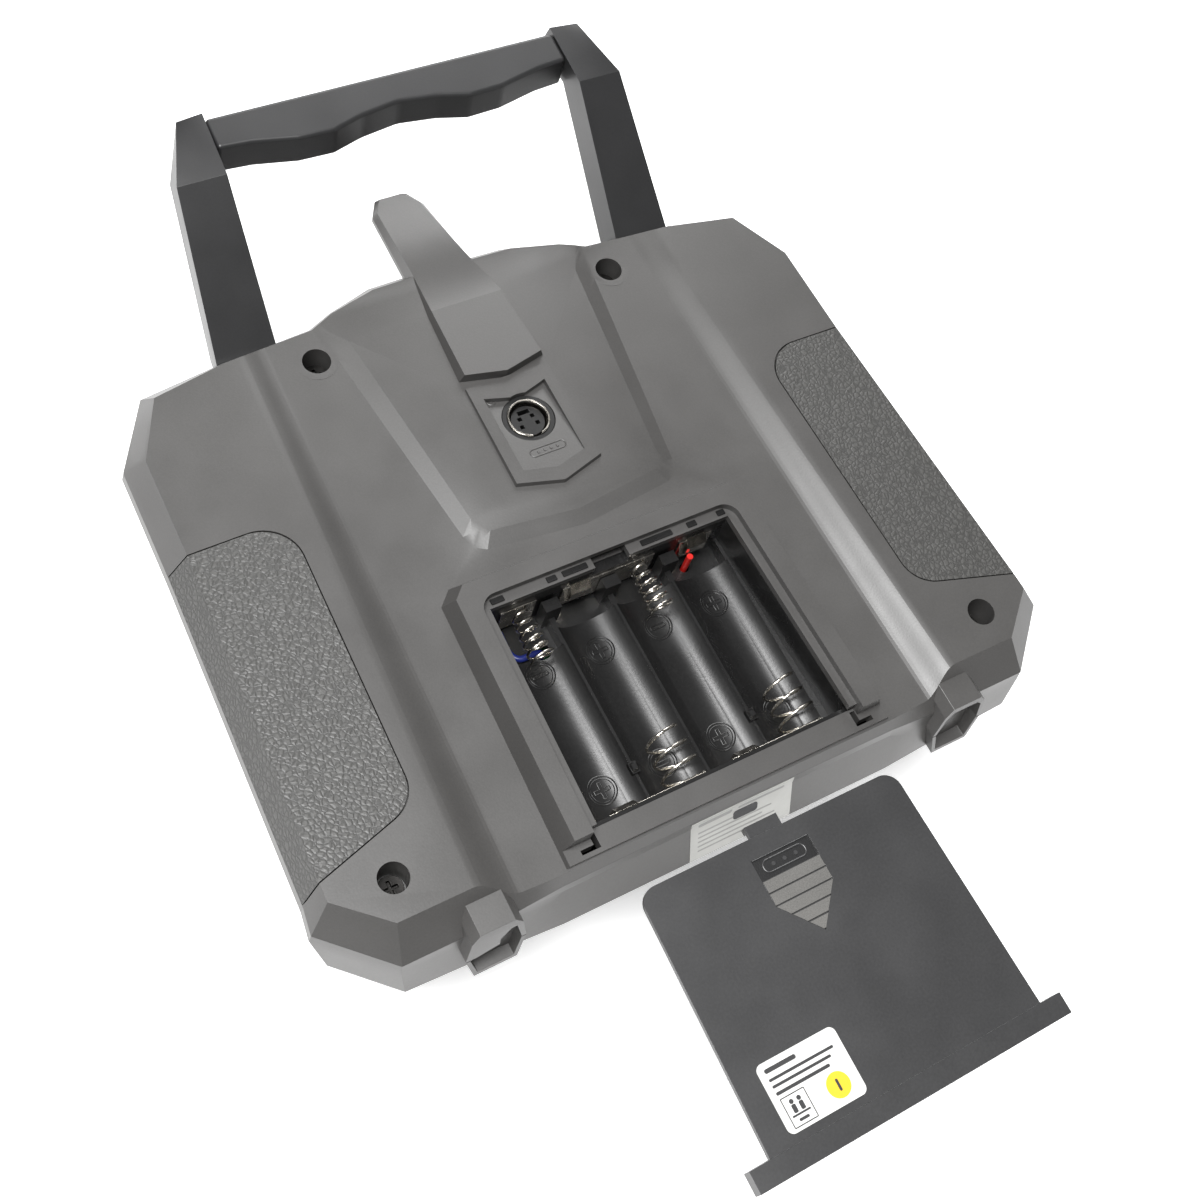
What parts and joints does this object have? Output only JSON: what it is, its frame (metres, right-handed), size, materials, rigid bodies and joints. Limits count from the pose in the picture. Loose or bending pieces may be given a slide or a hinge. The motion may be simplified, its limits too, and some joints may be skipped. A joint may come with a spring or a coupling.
{
  "type": "hand-held radio-control transmitter",
  "caption": "Hand-held radio-control transmitter, face-down, with fixed carry handle, blade aerial, trainer socket, textured grips and an open AA battery bay with its door slid off.",
  "frame": {"origin": "middle of the bounding box, on the floor plane under the stick tips", "axes": "+Z out of the rear case, +Y towards the carrying handle, +X to the right as seen from the back"},
  "size_m": [0.1936, 0.2682, 0.0876],
  "materials": {
    "case_grey": "satin moulded ABS",
    "front_grey": "satin moulded ABS",
    "grip_grain": "leather-grain rubber",
    "handle_grey": "satin moulded ABS",
    "door_grey": "satin moulded ABS",
    "bay_black": "gloss black",
    "nickel": "nickel-plated spring steel",
    "screw_steel": "black zinc",
    "wire_red": "PVC",
    "wire_blue": "PVC",
    "label_white": "printed film",
    "label_silver": "silver film",
    "board_green": "solder mask",
    "module_grey": "satin",
    "window_clear": "clear",
    "lamp_red": "translucent",
    "tip_metal": "turned",
    "switch_metal": "plated",
    "black_plastic": "satin",
    "key_grey": "silicone"
  },
  "bodies": {
    "case": {"rear_case": "case_grey", "front_case": "front_grey", "grip_right": "grip_grain", "grip_left": "grip_grain", "handle_arm_right": "handle_grey", "handle_arm_left": "handle_grey", "handle_bar": "handle_grey", "aerial": "case_grey", "trainer_body": "black_plastic", "trainer_shell": "nickel", "trainer_insert": "black_plastic", "battery_box": "bay_black", "contact_springs": "nickel", "contact_bridge_upper": "nickel", "contact_bridges_lower": "nickel", "contact_end_minus": "nickel", "contact_end_plus": "nickel", "lead_blue": "wire_blue", "lead_red": "wire_red", "base_label": "label_silver", "case_screws": "screw_steel", "foot_right": "case_grey", "foot_left": "case_grey", "main_board": "board_green", "radio_module": "module_grey", "display_module": "module_grey", "display_window": "window_clear", "status_light": "lamp_red", "strap_eye": "switch_metal", "gimbal_housing_right": "black_plastic", "gimbal_housing_left": "black_plastic", "toggle_switches": "switch_metal", "knob_pots": "module_grey"},
    "door": {"battery_door": "door_grey", "door_label": "label_white"},
    "yoke_right": {"yoke_right": "black_plastic"},
    "stick_right": {"stick_right": "black_plastic", "stick_tip_right": "tip_metal"},
    "trim_side_right": {"trim_side_right": "black_plastic"},
    "trim_low_right": {"trim_low_right": "black_plastic"},
    "knob_right": {"knob_right": "black_plastic"},
    "yoke_left": {"yoke_left": "black_plastic"},
    "stick_left": {"stick_left": "black_plastic", "stick_tip_left": "tip_metal"},
    "trim_side_left": {"trim_side_left": "black_plastic"},
    "trim_low_left": {"trim_low_left": "black_plastic"},
    "knob_left": {"knob_left": "black_plastic"},
    "toggle_1": {"toggle_lever_1": "switch_metal"},
    "toggle_2": {"toggle_lever_2": "switch_metal"},
    "toggle_3": {"toggle_lever_3": "switch_metal"},
    "toggle_4": {"toggle_lever_4": "switch_metal"},
    "key_1": {"key_1": "key_grey"},
    "key_2": {"key_2": "key_grey"},
    "key_3": {"key_3": "key_grey"},
    "key_4": {"key_4": "key_grey"},
    "key_5": {"key_5": "key_grey"},
    "key_6": {"key_6": "key_grey"},
    "power_slider": {"power_slider": "key_grey"}
  },
  "joints": [
    {"name": "door_slide", "type": "slide", "parent": "case", "child": "door", "axis": [0, 1, 0], "range_m": [0, 0.0735]},
    {"name": "stick_right_updown", "type": "hinge", "parent": "case", "child": "yoke_right", "pos_m": [0.05, 0.03075, 0.036], "axis": [1, 0, 0], "range_deg": [-20, 20]},
    {"name": "stick_right_leftright", "type": "hinge", "parent": "yoke_right", "child": "stick_right", "pos_m": [0.05, 0.03075, 0.036], "axis": [0, 1, 0], "range_deg": [-20, 20], "stiffness_Nm_per_rad": 0.3},
    {"name": "trim_side_right_slide", "type": "slide", "parent": "case", "child": "trim_side_right", "axis": [0, 1, 0], "range_m": [-0.006, 0.006]},
    {"name": "trim_low_right_slide", "type": "slide", "parent": "case", "child": "trim_low_right", "axis": [1, 0, 0], "range_m": [-0.006, 0.006]},
    {"name": "knob_right_turn", "type": "hinge", "parent": "case", "child": "knob_right", "pos_m": [0.0175, 0.06575, 0.02], "axis": [0, 0, 1], "range_deg": [-150, 150]},
    {"name": "stick_left_updown", "type": "hinge", "parent": "case", "child": "yoke_left", "pos_m": [-0.05, 0.03075, 0.036], "axis": [1, 0, 0], "range_deg": [-20, 20], "stiffness_Nm_per_rad": 0.3},
    {"name": "stick_left_leftright", "type": "hinge", "parent": "yoke_left", "child": "stick_left", "pos_m": [-0.05, 0.03075, 0.036], "axis": [0, 1, 0], "range_deg": [-20, 20], "stiffness_Nm_per_rad": 0.3},
    {"name": "trim_side_left_slide", "type": "slide", "parent": "case", "child": "trim_side_left", "axis": [0, 1, 0], "range_m": [-0.006, 0.006]},
    {"name": "trim_low_left_slide", "type": "slide", "parent": "case", "child": "trim_low_left", "axis": [1, 0, 0], "range_m": [-0.006, 0.006]},
    {"name": "knob_left_turn", "type": "hinge", "parent": "case", "child": "knob_left", "pos_m": [-0.0175, 0.06575, 0.02], "axis": [0, 0, 1], "range_deg": [-150, 150]},
    {"name": "toggle_1_flip", "type": "hinge", "parent": "case", "child": "toggle_1", "pos_m": [0.068, 0.06775, 0.0165], "axis": [1, 0, 0], "range_deg": [-12, 12]},
    {"name": "toggle_2_flip", "type": "hinge", "parent": "case", "child": "toggle_2", "pos_m": [0.054, 0.06775, 0.0165], "axis": [1, 0, 0], "range_deg": [-12, 12]},
    {"name": "toggle_3_flip", "type": "hinge", "parent": "case", "child": "toggle_3", "pos_m": [-0.054, 0.06775, 0.0165], "axis": [1, 0, 0], "range_deg": [-12, 12]},
    {"name": "toggle_4_flip", "type": "hinge", "parent": "case", "child": "toggle_4", "pos_m": [-0.068, 0.06775, 0.0165], "axis": [1, 0, 0], "range_deg": [-12, 12]},
    {"name": "key_1_press", "type": "slide", "parent": "case", "child": "key_1", "axis": [0, 0, 1], "range_m": [0, 0.001], "stiffness_N_per_m": 600},
    {"name": "key_2_press", "type": "slide", "parent": "case", "child": "key_2", "axis": [0, 0, 1], "range_m": [0, 0.001], "stiffness_N_per_m": 600},
    {"name": "key_3_press", "type": "slide", "parent": "case", "child": "key_3", "axis": [0, 0, 1], "range_m": [0, 0.001], "stiffness_N_per_m": 600},
    {"name": "key_4_press", "type": "slide", "parent": "case", "child": "key_4", "axis": [0, 0, 1], "range_m": [0, 0.001], "stiffness_N_per_m": 600},
    {"name": "key_5_press", "type": "slide", "parent": "case", "child": "key_5", "axis": [0, 0, 1], "range_m": [0, 0.001], "stiffness_N_per_m": 600},
    {"name": "key_6_press", "type": "slide", "parent": "case", "child": "key_6", "axis": [0, 0, 1], "range_m": [0, 0.001], "stiffness_N_per_m": 600},
    {"name": "power_slide", "type": "slide", "parent": "case", "child": "power_slider", "axis": [1, 0, 0], "range_m": [0, 0.005]}
  ]
}
